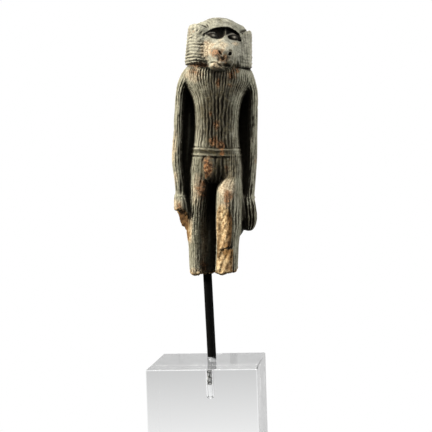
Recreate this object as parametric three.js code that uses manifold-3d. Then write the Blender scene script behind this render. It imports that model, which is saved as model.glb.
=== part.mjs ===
// A broken faience amulet of a standing, striding baboon on its display mount: a clear acrylic cube
// with a blind hole, and a black steel rod that is threaded into the cube and ends in the amulet.
// Millimetres, +Z up. The origin is the centre of the cube's underside, and the cube's front faces -Y.
import * as THREE from 'three';
import { mergeVertices } from 'three/addons/utils/BufferGeometryUtils.js';
import Module from 'manifold-3d';

const wasm = await Module();
wasm.setup();

// Clearance between pieces that touch or fit into each other
const GAP = 0.3;

// The acrylic cube: a stock 1.5 inch block with polished, eased edges
const BLOCK = 38.1;
const BLOCK_BEVEL = 0.6;

// The rod: 1/8 inch steel, standing behind the middle of the cube and leaning a little to its left
const ROD_RADIUS = 3.175 / 2;
const ROD_FOOT = [0.2, 10.2];
const ROD_LEAN = THREE.MathUtils.degToRad(-1.3);
const ROD_SIDES = 16;
const ROD_IN_AMULET = 12;
const STUB_RADIUS = 1.2;
const STUB_LENGTH = 8.6;
const HOLE_DEPTH = 13.7;

// The amulet stands off the cube, turned and leaning on the rod. Its own frame has x across the
// figure, y towards its back and z up from the lowest point of the break through the legs.
const AMULET_FOOT = [2.12, 6.97, 68.2];
const AMULET_TURN = THREE.MathUtils.degToRad(6.7);
const AMULET_LEAN = THREE.MathUtils.degToRad(3.18);

// The head sits on the shoulders, turned and tilted a little more than the body
const HEAD_CENTRE = [-0.2, 0.3, 82];
const HEAD_TURN = THREE.MathUtils.degToRad(11);
const HEAD_TILT = THREE.MathUtils.degToRad(1.5);

// Fur is carved as upright flutes with a sharp ridge and a sharp groove
const FLUTE_DEPTH = 0.38;
const TORSO_FLUTES = 28;
const ARM_FLUTES = 11;
const LEG_FLUTES = 17;

// Body parts as stations up their height: [height, centre across, centre in depth, half width, half depth]
const TORSO = [
  [28, 0.2, 1.2, 9.5, 5.4],
  [37, 0.1, 0.4, 9.6, 6.1],
  [44, 0, 0, 8.6, 5.7],
  [52, -0.1, 0, 7.9, 5.5],
  [59, -0.2, -0.2, 8.1, 5.9],
  [63, -0.2, -0.2, 9, 6.2],
  [66, -0.3, -0.1, 10.5, 6.3],
  [69, -0.4, 0.2, 12.3, 6.2],
  [72, -0.4, 0.6, 12.2, 5.9],
  [74.5, -0.4, 1, 10.4, 5.4],
  [76.5, -0.4, 1.4, 7.5, 4.8],
];
const RIGHT_ARM = [
  [26, 11.9, -0.5, 1.9, 2.8],
  [29.5, 12, -0.3, 1.8, 2.7],
  [34, 12.2, 0, 1.8, 3],
  [42, 13, 0.4, 1.8, 3.3],
  [50, 13, 0.6, 1.7, 3.3],
  [58, 12.9, 0.6, 1.7, 3.5],
  [66, 12.4, 0.6, 1.8, 3.8],
  [70, 10.9, 0.8, 2.4, 3.8],
  [73.5, 9, 0.9, 2.4, 3.2],
  [75, 8, 1, 1.4, 2.2],
];
const LEFT_ARM = [
  [26, -12.5, -0.5, 2, 2.8],
  [29.5, -12.6, -0.4, 1.9, 2.7],
  [34, -13, -0.2, 1.9, 3],
  [41, -14, 0.3, 1.9, 3.3],
  [50, -13.8, 0.6, 1.8, 3.3],
  [58, -13.5, 0.6, 1.8, 3.5],
  [66, -13.2, 0.6, 1.9, 3.8],
  [70, -11.8, 0.8, 2.4, 3.8],
  [73.5, -9.8, 0.9, 2.4, 3.2],
  [75, -8.6, 1, 1.4, 2.2],
];
const HAND = [
  [15.9, 0, 0, 1.5, 2.2],
  [17.5, 0.1, 0, 2.3, 3.2],
  [21, 0.2, 0, 2.6, 3.8],
  [25, 0.1, 0, 2.6, 3.7],
  [27.6, -0.2, 0.2, 2.3, 3],
];
const RIGHT_HAND = [11.9, -0.7];
const LEFT_HAND = [-12.5, -0.7];
const HAND_BREAK = [[-14.9, 24.5], [-10.3, 14.5]];
const REAR_LEG = [
  [-2, -5.6, 1.6, 3.1, 4.6],
  [10, -5.9, 1.4, 3.2, 4.7],
  [18, -6.3, 1.2, 3.6, 4.9],
  [28, -5.9, 1, 3.9, 5.1],
  [37, -5.2, 0.8, 4.2, 5.2],
];
const STRIDING_LEG = [
  [-2, 4.5, -2.8, 4, 6.4],
  [12, 4.6, -3, 4, 6.6],
  [18, 4.8, -3.1, 4.5, 6.8],
  [28, 5, -2.9, 4.6, 6.7],
  [34, 4.9, -2.5, 4.5, 6.5],
  [37, 4.7, -1.4, 3.7, 5.4],
  [38.4, 4.6, -0.4, 2, 3],
];

// The front of the striding leg has broken away in two flat steps, each through two points of the plan
const SHIN_BREAKS = [
  { from: [0.4, -6.2], to: [5.1, -9.8], low: 9, high: 27 },
  { from: [0.3, -5.2], to: [6.6, -8.2], low: -3, high: 10.6 },
];

// The material left standing behind the limbs: boxes as [low corner, high corner]
const ARM_WEB = [[-12.6, 1.4, 17], [11.8, 4.2, 69]];
const LEG_WEB = [[-5, 0.6, -2], [2, 7.4, 37]];
const BACK_PILLAR = [[-4.6, 3, -2], [4.6, 8.2, 76]];

// The belt: a band with a ridge along each edge that dips at the front
const BELT_LOW = 42.9;
const BELT_HIGH = 45.6;
const BELT_PROUD = 0.35;
const BELT_DIP = 1.1;

// The groin: a worn oval boss below the belt
const GROIN_RADII = [2.3, 1.7, 4.5];
const GROIN_PLACE = [-2.8, -5.2, 38.4];

// The break through the legs: a rough face that rises towards the outer sides of the legs
const BREAK_LEVEL = 0.65;
const BREAK_RISE = { beyond: 6, slope: 0.55 };
const BREAK_CELLS = 12;

// The head's own frame has its origin in the middle of the skull and looks towards -y
const CROWN = { radii: [10.3, 8.9, 10.2], squareness: 2.25 };
const NAPE = { radii: [9.6, 7, 9.2], squareness: 3.6, place: [0, 1.5, -0.6] };
const MANE = { x: 7.8, halfWidth: 3.8, halfDepth: 7.1, low: -9.6, squareness: 3.4, rounding: 1.6 };
const MANE_TOP = { left: 7.5, right: 6.3 };
const MANE_LINES = 9;
const MANE_LINE_DEPTH = 0.28;

// What the face has two of: radii, distance from the middle, and place of the middle
const SOCKETS = { radii: [3.5, 3, 2.5], apart: 3.7, place: [0.3, -9.2, 3.5] };
const EYES = { radii: [2.1, 1.6, 1.1], apart: 3.7, place: [0.3, -6.8, 3] };
const CHEEKS = { radii: [2.9, 4.6, 6.4], apart: 3.9, place: [0, -4.7, -3] };
const NOSTRILS = { radii: [0.8, 1, 0.6], apart: 1.75, place: [0, -13.3, -3.1] };
const MOUTH = { radii: [4, 4.4, 0.45], place: [0, -10.2, -7.1] };

// The muzzle as stations along its reach: [reach, rise, half width, half height]
const MUZZLE = [
  [0, 0, 5.8, 6.4],
  [2.5, -0.3, 5.2, 5.8],
  [5, -0.8, 4.6, 5],
  [7.5, -1.4, 4.1, 4.4],
  [9.4, -1.8, 3.6, 3.8],
  [10.4, -1.9, 2.4, 2.6],
];
const MUZZLE_PLACE = [0, -3.3, -2.6];

const RINGS_PER_MM = 0.24;
const LIMB_SQUARENESS = 2.3;
const SMALLEST = 1e-4;

const signedPower = (value, power) => Math.sign(value) * Math.abs(value) ** power;

// A solid that can be joined and cut, from a closed geometry, and the geometry of such a solid
function solid(geometry) {
  const bare = new THREE.BufferGeometry();
  const source = geometry.index ? geometry.toNonIndexed() : geometry;
  bare.setAttribute('position', source.attributes.position);
  const merged = mergeVertices(bare, SMALLEST);
  const vertProperties = new Float32Array(merged.attributes.position.array);
  const triVerts = new Uint32Array(merged.index.array);
  return new wasm.Manifold(new wasm.Mesh({ numProp: 3, vertProperties, triVerts }));
}

function geometryOf(made) {
  const mesh = made.getMesh();
  const geometry = new THREE.BufferGeometry();
  geometry.setAttribute('position', new THREE.BufferAttribute(new Float32Array(mesh.vertProperties), 3));
  geometry.setIndex(new THREE.BufferAttribute(new Uint32Array(mesh.triVerts), 1));
  const flat = geometry.toNonIndexed();
  flat.computeVertexNormals();
  return flat;
}

// Frames that place the rod, the amulet and, inside the amulet's, the head
const rodFrame = new THREE.Group();
rodFrame.position.set(...ROD_FOOT, BLOCK);
rodFrame.rotation.y = ROD_LEAN;
rodFrame.updateMatrix();

const amuletFrame = new THREE.Group();
amuletFrame.position.set(...AMULET_FOOT);
amuletFrame.rotation.set(0, AMULET_LEAN, AMULET_TURN, 'ZYX');
amuletFrame.updateMatrix();

const headFrame = new THREE.Object3D();
headFrame.position.set(...HEAD_CENTRE);
headFrame.rotation.set(0, HEAD_TILT, HEAD_TURN, 'ZYX');
headFrame.updateMatrix();

const placed = (geometry, place) => solid(geometry.translate(...place));
const onHead = (geometry, place) => solid(geometry.translate(...place).applyMatrix4(headFrame.matrix));
const join = (pieces) => pieces.reduce((whole, piece) => whole.add(piece));
const cut = (whole, cutters) => cutters.reduce((left, cutter) => left.subtract(cutter), whole);

// A closed skin over rings of points that run counterclockwise seen from above, lowest ring first
function loft(rings) {
  const count = rings[0].length;
  const middle = (ring) => ring.reduce((sum, p) => sum.add(p), new THREE.Vector3()).divideScalar(count);
  const points = [...rings.flat(), middle(rings[0]), middle(rings.at(-1))];
  const bottom = points.length - 2;
  const top = points.length - 1;
  const last = (rings.length - 1) * count;
  const faces = [];
  for (let j = 0; j < count; j++) {
    const next = (j + 1) % count;
    faces.push(bottom, next, j, last + j, last + next, top);
    for (let i = 0; i < rings.length - 1; i++) {
      const low = i * count;
      faces.push(low + j, low + next, low + next + count, low + j, low + next + count, low + j + count);
    }
  }
  const geometry = new THREE.BufferGeometry().setFromPoints(points);
  geometry.setIndex(faces);
  return geometry;
}

// The station at a height, on a smooth curve through the stations
function stationAt(stations, height) {
  const last = stations.length - 1;
  let k = stations.findIndex((s) => s[0] > height) - 1;
  if (k < 0) k = height < stations[0][0] ? 0 : last - 1;
  const [low, high] = [stations[k], stations[k + 1]];
  const step = high[0] - low[0];
  const t = THREE.MathUtils.clamp((height - low[0]) / step, 0, 1);
  const slope = (i, field) => {
    const [a, b] = [stations[Math.max(i - 1, 0)], stations[Math.min(i + 1, last)]];
    return ((b[field] - a[field]) / (b[0] - a[0])) * step;
  };
  return low.map((_, field) => {
    if (field === 0) return height;
    const [p, q, dp, dq] = [low[field], high[field], slope(k, field), slope(k + 1, field)];
    const bend = 2 * p + dp - 2 * q + dq;
    return p + t * (dp + t * (3 * q - 3 * p - 2 * dp - dq + t * bend));
  });
}

// One ring of a limb. Every second point lies in a groove; proud moves the whole ring outwards.
function limbRing([height, x, y, halfWidth, halfDepth], flutes, squareness, depth, proud = 0) {
  const count = flutes * 2;
  return Array.from({ length: count }, (_, i) => {
    const turn = (i / count) * Math.PI * 2;
    const inset = (i % 2 ? depth : 0) - proud;
    const across = signedPower(Math.cos(turn), 2 / squareness) * (halfWidth - inset);
    const along = signedPower(Math.sin(turn), 2 / squareness) * (halfDepth - inset);
    return new THREE.Vector3(x + across, y + along, height);
  });
}

// A limb: rings at even steps between its lowest and highest station
function limb(stations, flutes, squareness = LIMB_SQUARENESS, depth = FLUTE_DEPTH) {
  const [low, high] = [stations[0][0], stations.at(-1)[0]];
  const steps = Math.ceil((high - low) * RINGS_PER_MM);
  const heights = Array.from({ length: steps + 1 }, (_, i) => low + ((high - low) * i) / steps);
  return solid(loft(heights.map((h) => limbRing(stationAt(stations, h), flutes, squareness, depth))));
}

function box([low, high]) {
  const size = high.map((v, i) => v - low[i]);
  return new THREE.BoxGeometry(...size).translate(...high.map((v, i) => (v + low[i]) / 2));
}

// An ellipsoid with its poles up and down, squarer than an ellipse where squareness is above 2
function boulder(radii, squareness, around, across) {
  const geometry = new THREE.SphereGeometry(1, around, across).rotateX(Math.PI / 2);
  const position = geometry.attributes.position;
  const p = new THREE.Vector3();
  for (let i = 0; i < position.count; i++) {
    p.fromBufferAttribute(position, i);
    const size = p.toArray().reduce((sum, v) => sum + Math.abs(v) ** squareness, 0) ** (1 / squareness);
    position.setXYZ(i, (p.x / size) * radii[0], (p.y / size) * radii[1], (p.z / size) * radii[2]);
  }
  return geometry;
}

// The belt follows the torso's own outline, without the flutes
function belt() {
  const middle = (BELT_LOW + BELT_HIGH) / 2;
  const profile = [[BELT_LOW - 0.3, -0.6], [BELT_LOW, BELT_PROUD], [BELT_LOW + 0.5, BELT_PROUD],
    [middle, 0], [BELT_HIGH - 0.5, BELT_PROUD], [BELT_HIGH, BELT_PROUD], [BELT_HIGH + 0.3, -0.6]];
  const rings = profile.map(([height, proud]) => {
    const station = stationAt(TORSO, height);
    const ring = limbRing(station, TORSO_FLUTES / 2, LIMB_SQUARENESS, 0, proud);
    const dip = (p) => (p.y < 0 ? BELT_DIP * Math.max(0, 1 - (p.x / station[3]) ** 2) : 0);
    return ring.map((p) => p.setZ(p.z - dip(p)));
  });
  return solid(loft(rings));
}

// A closed fist: a plain rounded form with shallow grooves between its four fingers on the front
function hand([x, y]) {
  const stations = HAND.map(([height, dx, dy, rx, ry]) => [height, x + dx, y + dy, rx, ry]);
  return limb(stations, 9, 2.5, 0.3);
}

// A slab that fills everything below a rough surface given by a function of x and y
function roughSlab(halfWidth, halfDepth, cells, surface) {
  const plate = new THREE.BoxGeometry(2 * halfWidth, 2 * halfDepth, 1, cells, cells, 1);
  const position = plate.attributes.position;
  for (let i = 0; i < position.count; i++) {
    const [x, y, up] = [position.getX(i), position.getY(i), position.getZ(i) > 0];
    position.setZ(i, up ? surface(x, y) : -8);
  }
  return solid(plate);
}

// The rough break, as a height over the plan
function breakHeight(x, y) {
  const outer = Math.max(0, Math.abs(x) - BREAK_RISE.beyond) * BREAK_RISE.slope;
  const lumps = 0.35 * Math.sin(1.3 * x + 0.7) + 0.3 * Math.cos(1.1 * y + 0.5 * x);
  return BREAK_LEVEL + outer + lumps;
}

// A flat break: everything in front of an upright plane through two points of the plan
function flatBreak({ from: [ax, ay], to: [bx, by], low, high }) {
  const size = 24;
  const cutter = new THREE.BoxGeometry(size, size, high - low).translate(0, -size / 2, 0);
  cutter.rotateZ(Math.atan2(by - ay, bx - ax));
  return placed(cutter, [(ax + bx) / 2, (ay + by) / 2, (low + high) / 2]);
}

// The outer side of the left hand is gone along a slope that faces down and outwards
function handBreak([[highX, highZ], [lowX, lowZ]]) {
  const slope = Math.atan2(lowX - highX, highZ - lowZ);
  const cutter = new THREE.BoxGeometry(20, 30, 40).translate(-10, 0, 0).rotateY(-slope);
  return placed(cutter, [(highX + lowX) / 2, 0, (highZ + lowZ) / 2]);
}

// A side of the mane: a squared block with level grooves, rounded at its top and bottom
function mane(side, top) {
  const steps = MANE_LINES * 2;
  const rings = Array.from({ length: steps + 1 }, (_, i) => {
    const part = i / steps;
    const rounding = MANE.rounding * (1 - Math.min(1, 3.2 * Math.sin(part * Math.PI)) ** 0.5);
    const inset = rounding + (i % 2 ? MANE_LINE_DEPTH : 0);
    const height = MANE.low + (top - MANE.low) * part;
    const station = [height, side * MANE.x, 0, MANE.halfWidth - inset, MANE.halfDepth - inset];
    return limbRing(station, 8, MANE.squareness, 0);
  });
  return onHead(loft(rings), [0, 0, 0]);
}

// The muzzle is lofted upwards and turned to reach towards -y
function muzzle() {
  const rings = MUZZLE.map(([reach, rise, halfWidth, halfHeight]) =>
    limbRing([reach, 0, rise, halfWidth, halfHeight], 9, 2.2, 0));
  return onHead(loft(rings).rotateX(Math.PI / 2), MUZZLE_PLACE);
}

// A pair of boulders, mirrored left and right of the middle of the face
const pair = ({ radii, apart, place: [x, y, z] }, around, across) =>
  [-1, 1].map((side) => onHead(boulder(radii, 2, around, across), [x + side * apart, y, z]));

function head() {
  const skull = join([
    onHead(boulder(CROWN.radii, CROWN.squareness, 24, 14), [0, 0, 0]),
    onHead(boulder(NAPE.radii, NAPE.squareness, 20, 12), NAPE.place),
    mane(-1, MANE_TOP.left),
    mane(1, MANE_TOP.right),
  ]);
  const hollowed = cut(skull, pair(SOCKETS, 14, 8));
  const face = join([hollowed, ...pair(CHEEKS, 12, 8), muzzle(), ...pair(EYES, 12, 6)]);
  const mouth = onHead(boulder(MOUTH.radii, 2, 12, 4), MOUTH.place);
  return cut(face, [...pair(NOSTRILS, 8, 4), mouth]);
}

const rodTop = (AMULET_FOOT[2] - BLOCK) / Math.cos(ROD_LEAN) + ROD_IN_AMULET;

// The socket in the amulet, in the amulet's frame, with clearance round the rod and over its end
function socket() {
  const bore = new THREE.CylinderGeometry(ROD_RADIUS + GAP, ROD_RADIUS + GAP, rodTop + GAP, ROD_SIDES);
  bore.rotateX(Math.PI / 2).translate(0, 0, (rodTop + GAP) / 2);
  bore.applyMatrix4(rodFrame.matrix).applyMatrix4(amuletFrame.matrix.clone().invert());
  return solid(bore);
}

function amulet() {
  const body = join([
    limb(TORSO, TORSO_FLUTES),
    limb(RIGHT_ARM, ARM_FLUTES),
    limb(LEFT_ARM, ARM_FLUTES),
    hand(RIGHT_HAND),
    limb(REAR_LEG, LEG_FLUTES),
    cut(limb(STRIDING_LEG, LEG_FLUTES), SHIN_BREAKS.map(flatBreak)),
    hand(LEFT_HAND).add(solid(box(ARM_WEB))).subtract(handBreak(HAND_BREAK)),
    solid(box(LEG_WEB)),
    solid(box(BACK_PILLAR)),
    belt(),
    placed(boulder(GROIN_RADII, 2, 12, 10), GROIN_PLACE),
    head(),
  ]);
  return cut(body, [roughSlab(16, 16, BREAK_CELLS, breakHeight), socket()]);
}

// The rod with its thinner stub, one turned profile from the stub's end to the rod's top
function rod() {
  const profile = [
    [0, -STUB_LENGTH],
    [STUB_RADIUS - 0.3, -STUB_LENGTH],
    [STUB_RADIUS, 0.3 - STUB_LENGTH],
    [STUB_RADIUS, GAP],
    [ROD_RADIUS - 0.15, GAP],
    [ROD_RADIUS, GAP + 0.15],
    [ROD_RADIUS, rodTop - 0.3],
    [ROD_RADIUS - 0.3, rodTop],
    [0, rodTop],
  ].map(([x, y]) => new THREE.Vector2(x, y));
  return new THREE.LatheGeometry(profile, ROD_SIDES).rotateX(Math.PI / 2);
}

// The cube with eased edges, lofted through the same square with cut corners at two insets
function block() {
  const half = BLOCK / 2;
  const up = new THREE.Vector3(0, 0, 1);
  const square = (height, inset) => [0, 1, 2, 3].flatMap((quarter) => {
    const far = half - inset;
    const near = far - BLOCK_BEVEL / 2;
    return [[far, near], [near, far]].map(([x, y]) =>
      new THREE.Vector3(x, y, height).applyAxisAngle(up, (quarter * Math.PI) / 2));
  });
  const body = solid(loft([
    square(0, BLOCK_BEVEL),
    square(BLOCK_BEVEL, 0),
    square(BLOCK - BLOCK_BEVEL, 0),
    square(BLOCK, BLOCK_BEVEL),
  ]));
  return body.subtract(solid(hole()));
}

// The blind hole, with the rounded end that the drill and the polish left
function hole() {
  const radius = STUB_RADIUS + GAP;
  const round = [0, 1, 2, 3].map((i) => (i / 3) * (Math.PI / 2));
  const end = round.map((a) => [radius * Math.sin(a), radius * (1 - Math.cos(a)) - HOLE_DEPTH]);
  const profile = [...end, [radius, 2], [0, 2]].map(([x, y]) => new THREE.Vector2(x, y));
  return new THREE.LatheGeometry(profile, ROD_SIDES).rotateX(Math.PI / 2).applyMatrix4(rodFrame.matrix);
}

const finish = (color, roughness, metalness, extra = {}) =>
  new THREE.MeshStandardMaterial({ color, roughness, metalness, ...extra });

function named(name, geometry, material) {
  const mesh = new THREE.Mesh(geometry, material);
  mesh.name = name;
  return mesh;
}

const group = new THREE.Group();
group.add(named('acrylic_block', geometryOf(block()),
  finish(0xe4e8e6, 0.05, 0, { transparent: true, opacity: 0.35 })));
rodFrame.add(named('mount_rod', rod(), finish(0x1c1b1a, 0.45, 0)));
amuletFrame.add(named('amulet', geometryOf(amulet()), finish(0x8d8a74, 0.55, 0)));
group.add(rodFrame, amuletFrame);

export default group;
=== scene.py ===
# A broken faience amulet of a standing baboon, held up by a black rod in a clear acrylic cube.
# The figure is carved as one distance field in its own frame, in millimetres: x across the figure,
# y towards its back and z up from the lowest point of the break through its legs.
import math
import bmesh
import bpy
import numpy as np
from mathutils import Matrix, Vector


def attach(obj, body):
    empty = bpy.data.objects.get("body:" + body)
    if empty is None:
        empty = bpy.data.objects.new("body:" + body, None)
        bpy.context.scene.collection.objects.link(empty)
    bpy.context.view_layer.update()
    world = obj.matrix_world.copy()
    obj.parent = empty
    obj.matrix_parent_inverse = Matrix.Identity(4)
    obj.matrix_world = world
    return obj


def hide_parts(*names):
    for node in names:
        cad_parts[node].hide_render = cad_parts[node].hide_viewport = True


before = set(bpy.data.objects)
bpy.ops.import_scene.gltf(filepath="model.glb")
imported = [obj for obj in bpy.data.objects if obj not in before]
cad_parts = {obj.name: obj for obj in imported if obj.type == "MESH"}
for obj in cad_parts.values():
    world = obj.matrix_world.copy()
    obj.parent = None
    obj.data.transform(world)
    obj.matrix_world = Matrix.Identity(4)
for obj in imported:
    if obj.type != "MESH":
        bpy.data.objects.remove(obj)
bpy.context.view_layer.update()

MM = 0.001

# The acrylic cube and the rod, in millimetres
BLOCK = 38.1
BLOCK_BEVEL = 0.3
REAR_BEVEL = 0.08
ROD_RADIUS = 3.175 / 2
ROD_FOOT = (0.2, 10.2)
ROD_LEAN = math.radians(-1.3)
ROD_IN_AMULET = 12
STUB_RADIUS = 1.4
HOLE_RADIUS = 1.5
STUB_LENGTH = 8.6
HOLE_DEPTH = 13.7
GAP = 0.03
SOCKET_GAP = 0.3
SOCKET_CLEARANCE = 0.2
ROD_ROUNDING = 0.1
ROD_TIP_CHAMFER = 0.3
STUB_TIP_CHAMFER = 0.45
THREAD_PITCH = 0.5
THREAD_DEPTH = 0.2
THREAD_ROW = 0.0625

# The place of the amulet, and of the head on it
AMULET_FOOT = (2.12, 6.97, 68.2)
AMULET_TURN = math.radians(6.7)
AMULET_LEAN = math.radians(3.18)
HEAD_CENTRE = (-0.2, 0.3, 82)
HEAD_TURN = math.radians(11)
HEAD_TILT = math.radians(1.5)

# Fur flutes: how many round each limb, and how deep
FLUTE_DEPTH = 0.42
TORSO_FLUTES = 42
SHOULDER_FLUTES = 80
ARM_FLUTES = 14
LEG_FLUTES = 25

# Body parts as stations up their height: [height, centre across, centre in depth, half width, half depth]
TORSO = [
    [33, 0.2, 1.0, 9.5, 5.6],
    [37, 0.1, 0.4, 9.6, 6.1],
    [44, 0, 0, 8.7, 5.8],
    [52, -0.1, 0, 8.0, 5.6],
    [59, -0.2, -0.2, 8.2, 6.0],
    [63, -0.2, -0.2, 9.1, 6.3],
    [66, -0.3, -0.1, 10.6, 6.4],
    [69, -0.4, 0.2, 12.4, 6.4],
    [72.4, -0.4, 0.4, 12.3, 6.4],
    [75.0, -0.4, 0.6, 10.6, 6.2],
    [77.0, -0.4, 1.2, 7.5, 5.0],
]
RIGHT_ARM = [
    [26, 12, -0.5, 1.9, 2.8],
    [29.5, 12.2, -0.3, 1.8, 2.7],
    [34, 12.5, 0, 1.8, 3],
    [42, 12.9, 0.4, 1.8, 3.3],
    [50, 12.8, 0.6, 1.75, 3.3],
    [58, 12.75, 0.6, 1.8, 3.5],
    [66, 12.4, 0.6, 1.85, 3.8],
    [70, 10.9, 0.8, 2.4, 3.8],
    [73.5, 9, 0.9, 2.4, 3.2],
    [75, 8, 1, 1.4, 2.2],
]
LEFT_ARM = [
    [26, -12.5, -0.5, 2, 2.8],
    [29.5, -12.6, -0.4, 1.9, 2.7],
    [34, -13, -0.2, 1.9, 3],
    [41, -14.1, 0.3, 1.9, 3.3],
    [50, -13.85, 0.6, 1.8, 3.3],
    [58, -13.7, 0.6, 1.8, 3.5],
    [66, -13.2, 0.6, 1.9, 3.8],
    [70, -11.8, 0.8, 2.4, 3.8],
    [73.5, -9.8, 0.9, 2.4, 3.2],
    [75, -8.6, 1, 1.4, 2.2],
]
HAND = [
    [16.2, 0.3, 0, 1.3, 2.0],
    [18.0, 0.5, 0, 2.2, 3.1],
    [21, 0.6, 0, 2.7, 3.8],
    [25, 0.2, 0, 2.6, 3.7],
    [28.2, -0.2, 0.2, 2.3, 3],
]
RIGHT_HAND = (11.9, -0.7)
LEFT_HAND = (-12.4, -0.7)
HAND_BREAK = ((-14.2, 22.3), (-10.0, 15.2))
REAR_LEG = [
    [-3, -5.4, 1.6, 3.0, 4.6],
    [3, -5.65, 1.5, 3.15, 4.6],
    [10, -6.0, 1.4, 3.3, 4.7],
    [18, -6.5, 1.2, 3.8, 4.9],
    [28, -5.9, 1, 3.9, 5.1],
    [37, -5.2, 0.8, 4.2, 5.2],
    [42, -4.6, 0.8, 3.4, 4.4],
]
STRIDING_LEG = [
    [-3, 4.65, -2.8, 4.05, 6.4],
    [12, 4.75, -3, 4.1, 6.6],
    [18, 4.95, -3.1, 4.6, 6.8],
    [28, 4.9, -2.9, 4.7, 6.7],
    [31.5, 4.95, -2.7, 4.5, 6.6],
    [33.4, 5.3, -2.4, 3.9, 6.3],
    [35.2, 5.9, -1.8, 2.8, 5.5],
    [36.8, 6.2, -0.8, 1.6, 3.6],
]
HIP = [
    [22, 6.6, -1.6, 2.6, 5.0],
    [28, 6.4, -1.9, 3.0, 6.2],
    [33, 6.3, -1.6, 3.0, 6.3],
    [38, 6.1, -0.8, 3.0, 5.9],
    [43, 5.8, 0, 2.6, 5.3],
    [46, 5.6, 0.4, 2.0, 4.4],
]
SHIN_BREAKS = [
    {"from": (0.4, -6.2), "to": (5.2, -9.7), "low": 9.6, "high": 30, "slope": 0, "fade": 2.2},
    {"from": (0.3, -6.0), "to": (6.6, -9.4), "low": -4, "high": 9.8, "slope": 0.4, "fade": 0},
]

# The material left standing behind the limbs: boxes as (low corner, high corner)
ARM_WEB = ((-12.6, 1.4, 17), (11.8, 4.2, 69))
LEG_WEB = ((-5, 0.6, -3), (2, 7.4, 37))
HAND_WEB = ((-13, -2.4, 12.5), (-7.5, 3, 22.8))
RIGHT_WEB = ((6.4, -1.5, 14.8), (10.0, 3, 24))
BACK_PILLAR = ((-4.6, 3, -3), (4.6, 8.2, 76))

BELT_LOW = 43.0
BELT_HIGH = 45.5
BELT_PROUD = 0.3
BELT_DIP = 0.5

# Where the fur is rubbed away: (x, z, half width, half height)
RUBBED = [
    (2.6, 30.5, 3.0, 5.5),
    (-6.2, 31, 2.4, 4.0),
    (-5.6, 12, 4.6, 10.0),
    (-13.6, 24.4, 3.0, 3.6),
    (0.8, 46.5, 1.6, 2.5),
]

GROIN_RADII = (2.2, 2.0, 4.3)
GROIN_PLACE = (-2.7, -5.1, 38.2)

BREAK_LEVEL = 0.65
BREAK_RISE = {"left": -7.6, "right": 6, "slope": 0.55, "tilt": 0.09}

# The face and the mane, in the head's own frame
CROWN = {"centre": (0.05, 0, 0), "radii": (9.75, 8.9, 10.3), "squareness": 2.22}
NAPE = {"low": (-9.6, -5, -9.6), "high": (9.6, 8.4, 8.0)}
MANE = {"half_depth": 7.2, "flare": 0.055, "top_slope": 0.45, "rounding": 1.2}
MANE_SIDES = {
    -1: {"across": (2.0, 11.5), "height": (-7.1, 7.0), "squareness": 2.5},
    1: {"across": (3.0, 11.7), "height": (-7.7, 6.0), "squareness": 3.0},
}
MANE_PITCH = 1.14
MUZZLE = [
    [0, 0, 0, 5.6, 6.6],
    [2.5, -0.1, -0.5, 5.1, 6.1],
    [5, -0.2, -1.1, 4.5, 5.5],
    [7.5, -0.3, -1.9, 3.9, 4.9],
    [9.4, -0.3, -2.4, 3.5, 4.3],
    [10.4, -0.3, -2.6, 2.8, 3.5],
]
MUZZLE_PLACE = (0, -3.3, -2.6)

# The outline of the recess round the eyes: [across, lower edge, upper edge]
EYE_ARCH = [
    [-7.6, 2.9, 2.9],
    [-6.0, 2.7, 3.95],
    [-4.2, 1.8, 5.15],
    [-2.3, 1.42, 5.9],
    [-0.6, 1.8, 6.15],
    [0.4, 2.8, 6.25],
    [1.1, 2.9, 6.3],
    [1.8, 1.8, 6.3],
    [3.2, 1.5, 5.85],
    [5.1, 1.5, 4.85],
    [6.1, 1.3, 3.7],
    [6.8, 1.55, 1.55],
]
EYES = ((-3.65, 2.6), (3.9, 2.6))

# Each nostril: its place across, height, half width, half height and slant
NOSTRILS = ((-1.95, -3.75, 0.33, 0.65, -0.8), (1.55, -3.85, 0.6, 0.6, 0.3))

# Forms of the face, each an ellipsoid in the head's frame: its place and its radii
BRIDGE = ((0.75, -6.3, 1.6), (0.6, 2.0, 4.2))
CHIN = ((-1.3, -8.0, -7.7), (3.4, 4.2, 1.8))
LIP = ((-2.8, -11.0, -8.1), (1.8, 1.3, 0.7))
LIP_HOLLOW = ((0.7, -13.4, -8.2), (1.7, 1.2, 0.75))
SEPTUM = ((-0.95, -13.0, -4.7), (0.5, 1.1, 1.2))
CHEEK_RADII = (2.7, 4.1, 5.5)
LID_RADII = (2.7, 1.8, 1.4)
LID_OPENING_RADII = (2.1, 1.7, 0.95)
EYEBALL_RADII = (1.8, 2.0, 1.0)
EYE_RECESS_DEPTH = 1.3
NOSTRIL_DEPTH = 1.2
NOSE_FRONT = -13.4

# The line of the mouth: [across, height]
MOUTH = [
    [-5.2, -6.83],
    [-4.1, -6.93],
    [-3.0, -7.2],
    [-1.9, -7.85],
    [-0.8, -8.7],
    [0.6, -9.0],
    [2.4, -8.6],
]

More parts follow.
